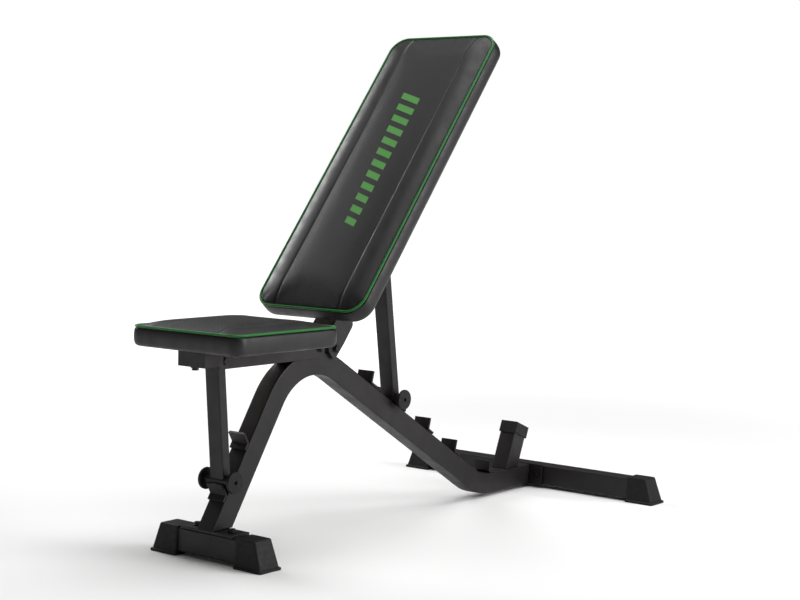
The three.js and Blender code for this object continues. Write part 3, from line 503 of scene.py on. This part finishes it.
def outline_loop(columns, rows):
    """Grid indexes round the edge of a columns x rows grid, anticlockwise."""
    bottom = [(i, 0) for i in range(columns - 1)]
    right = [(columns - 1, j) for j in range(rows - 1)]
    top = [(i, rows - 1) for i in range(columns - 1, 0, -1)]
    left = [(0, j) for j in range(rows - 1, 0, -1)]
    return bottom + right + top + left


def face_points(us, vs, half, corner, seam):
    """Points of the crowned face, column by column, with a valley along each seam."""
    points = []
    for u in us:
        valley = SEAM_DEPTH * math.exp(-((abs(u) - seam) / (VALLEY_WIDTH * SEAM_REACH)) ** 2)
        for v in vs:
            place, _ = round_corner(u, v, half, corner)
            height = RIM_RISE + CROWN * rise(half[0] - abs(u)) * rise(half[1] - abs(v)) - valley
            points.append((place.x, place.y, height))
    return points


def face_quads(us, rows, seam):
    """Quads of the face, and for each its panel: 1 between the seams, 0 outside them."""
    faces = []
    panels = []
    for i in range(len(us) - 1):
        for j in range(rows - 1):
            a = i * rows + j
            faces.append((a, a + rows, a + rows + 1, a + 1))
            panels.append(1 if abs(us[i] + us[i + 1]) / 2 < seam else 0)
    return faces, panels


def ring_points(places, outline, half, corner, inset, height):
    """One ring of the cover, inset from the outline and at a height above the piping, in millimetres."""
    inner = [side - inset * MM for side in outline]
    ring = []
    for u, v in places:
        place, _ = round_corner(u * inner[0] / half[0], v * inner[1] / half[1], inner,
                                max(corner - inset * MM, TIGHTEST_CORNER))
        ring.append((place.x, place.y, height * MM))
    return ring


def add_cap(points, faces, us, vs, half, outline, ring_of):
    """Closes the cover behind the board with a grid of quads inside its last ring."""
    inset, height = BOARD_NEST[-1]
    inner = [side - inset * MM for side in outline]
    cap = dict(ring_of)
    for i in range(1, len(us) - 1):
        for j in range(1, len(vs) - 1):
            cap[i, j] = len(points)
            points.append((us[i] * inner[0] / half[0], vs[j] * inner[1] / half[1], height * MM))
    for i in range(len(us) - 1):
        for j in range(len(vs) - 1):
            faces.append((cap[i, j], cap[i, j + 1], cap[i + 1, j + 1], cap[i + 1, j]))


def pad_mesh(name, outline, corner):
    """The closed cover of a pad: crowned face, nest for the piping, side band and hem round the board."""
    seam = outline[0] * SEAM_SHARE
    half = (outline[0] - FACE_INSET, outline[1] - FACE_INSET)
    us = grid_lines(half[0], (-seam, seam))
    vs = grid_lines(half[1])
    rows = len(vs)
    points = face_points(us, vs, half, corner - FACE_INSET, seam)
    faces, panels = face_quads(us, rows, seam)
    loop = outline_loop(len(us), rows)
    places = [(us[i], vs[j]) for i, j in loop]
    ring = [i * rows + j for i, j in loop]
    free_side = []
    for inset, height in NEST + SIDE + HEM + BOARD_NEST:
        below = list(range(len(points), len(points) + len(loop)))
        points += ring_points(places, outline, half, corner, inset, height)
        for k in range(len(loop)):
            after = (k + 1) % len(loop)
            faces.append((ring[k], below[k], below[after], ring[after]))
        if (inset, height) in SIDE[1:-2]:
            free_side += below
        ring = below
    add_cap(points, faces, us, vs, half, outline, zip(loop, ring))
    panels += [0] * (len(faces) - len(panels))
    mesh = bpy.data.meshes.new(name)
    mesh.from_pydata(points, [], faces)
    mesh.polygons.foreach_set("material_index", panels)
    mesh.polygons.foreach_set("use_smooth", [True] * len(faces))
    mesh.update()
    free_face = [i * rows + j for i in range(1, len(us) - 1) for j in range(1, rows - 1)
                 if abs(abs(us[i]) - seam) > 1e-6]
    return mesh, free_face + free_side


def puff(pad, free_points):
    """Blows the cover up between its seams with a short cloth simulation, and keeps the shape."""
    mesh = pad.data
    before = np.empty(len(mesh.vertices) * 3)
    mesh.vertices.foreach_get("co", before)
    before = before.reshape(-1, 3)
    held = sorted(set(range(len(before))) - set(free_points))
    pad.vertex_groups.new(name="held").add(held, 1.0, "REPLACE")
    cloth = pad.modifiers.new("cloth", "CLOTH")
    cloth.settings.vertex_group_mass = "held"
    cloth.settings.use_pressure = True
    cloth.settings.uniform_pressure_force = PUFF_PRESSURE
    cloth.settings.effector_weights.gravity = 0
    cloth.settings.quality = 6
    cloth.settings.bending_stiffness = 4
    for step in range(1, PUFF_FRAMES + 1):
        bpy.context.scene.frame_set(step)
    shown = pad.evaluated_get(bpy.context.evaluated_depsgraph_get())
    after = np.empty(len(before) * 3)
    shown.data.vertices.foreach_get("co", after)
    moved = after.reshape(-1, 3) - before
    length = np.linalg.norm(moved, axis=1, keepdims=True) + 1e-12
    moved = moved / length * PUFF_LIMIT * np.tanh(length / PUFF_LIMIT)
    print(pad.name, "puffed by up to", round(float(length.max() / MM), 2), "mm before the limit")
    pad.modifiers.remove(cloth)
    pad.vertex_groups.clear()
    bpy.context.scene.frame_set(1)
    mesh.vertices.foreach_set("co", (before + moved).ravel())
    mesh.update()


def piping_mesh(name, outline, corner, radius):
    """A round cord along the edge of the pad."""
    inset = radius + 0.2 * MM
    half = (outline[0] - inset, outline[1] - inset)
    us = grid_lines(half[0])
    vs = grid_lines(half[1])
    around = CORD_SIDES
    points = []
    faces = []
    loop = outline_loop(len(us), len(vs))
    for i, j in loop:
        place, out = round_corner(us[i], vs[j], half, corner - inset)
        for k in range(around):
            angle = math.tau * k / around
            shifted = place + out * radius * math.cos(angle)
            points.append((shifted.x, shifted.y, radius * math.sin(angle)))
    for s in range(len(loop)):
        after = (s + 1) % len(loop)
        for k in range(around):
            next_k = (k + 1) % around
            faces.append((s * around + k, after * around + k, after * around + next_k, s * around + next_k))
    mesh = bpy.data.meshes.new(name)
    mesh.from_pydata(points, [], faces)
    mesh.polygons.foreach_set("use_smooth", [True] * len(faces))
    mesh.update()
    return mesh


def add_piece(name, mesh, axes, materials):
    piece = bpy.data.objects.new(name, mesh)
    piece.matrix_world = axes
    bpy.context.scene.collection.objects.link(piece)
    for material in materials:
        mesh.materials.append(material)
    return piece


SEAT_CORNER = 21 * MM
BACK_CORNER = 38 * MM


def add_pad(name, body, corner, cover, panel, cord):
    """One upholstered pad with its piping, made round the CAD pad of that name."""
    axes, outline, radius = pad_axes(f"{name}_piping")
    mesh, free_points = pad_mesh(f"{name}_cushion", outline, corner)
    pad = add_piece(f"{name}_cushion", mesh, axes, [cover, panel])
    puff(pad, free_points)
    pad.modifiers.new("finer", "SUBSURF").render_levels = 1
    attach(pad, body)
    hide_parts(f"{name}_pad")
    cord_mesh = piping_mesh(f"{name}_edge_cord", outline, corner, radius)
    edge = add_piece(f"{name}_edge_cord", cord_mesh, axes, [cord])
    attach(edge, body)
    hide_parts(f"{name}_piping")
    return pad


# ---------------------------------------------------------------- put together

add_camera()
add_studio()
add_floor()

dress_cad_nodes({
    "powder_coat": powder_coat(),
    "black_plastic": moulded_plastic(),
    "black_bolt": black_bolt(),
    "plywood": plywood(),
})

half_width, back_half = pad_axes("backrest_piping")[1]
seam = half_width * SEAM_SHARE
vinyl = smooth_vinyl(seam)
piping = green_piping()
MOTIF = {
    "start": 195 * MM - back_half,
    "end": 535 * MM - back_half,
    "left": -22 * MM,
    "right": 30 * MM,
    "bars": 12,
    "slant": 0.35,
}
add_pad("seat", "seat", SEAT_CORNER, vinyl, embossed_vinyl("embossed_leather", seam, None), piping)
add_pad("backrest", "backrest", BACK_CORNER, vinyl,
        embossed_vinyl("embossed_leather_printed", seam, MOTIF), piping)
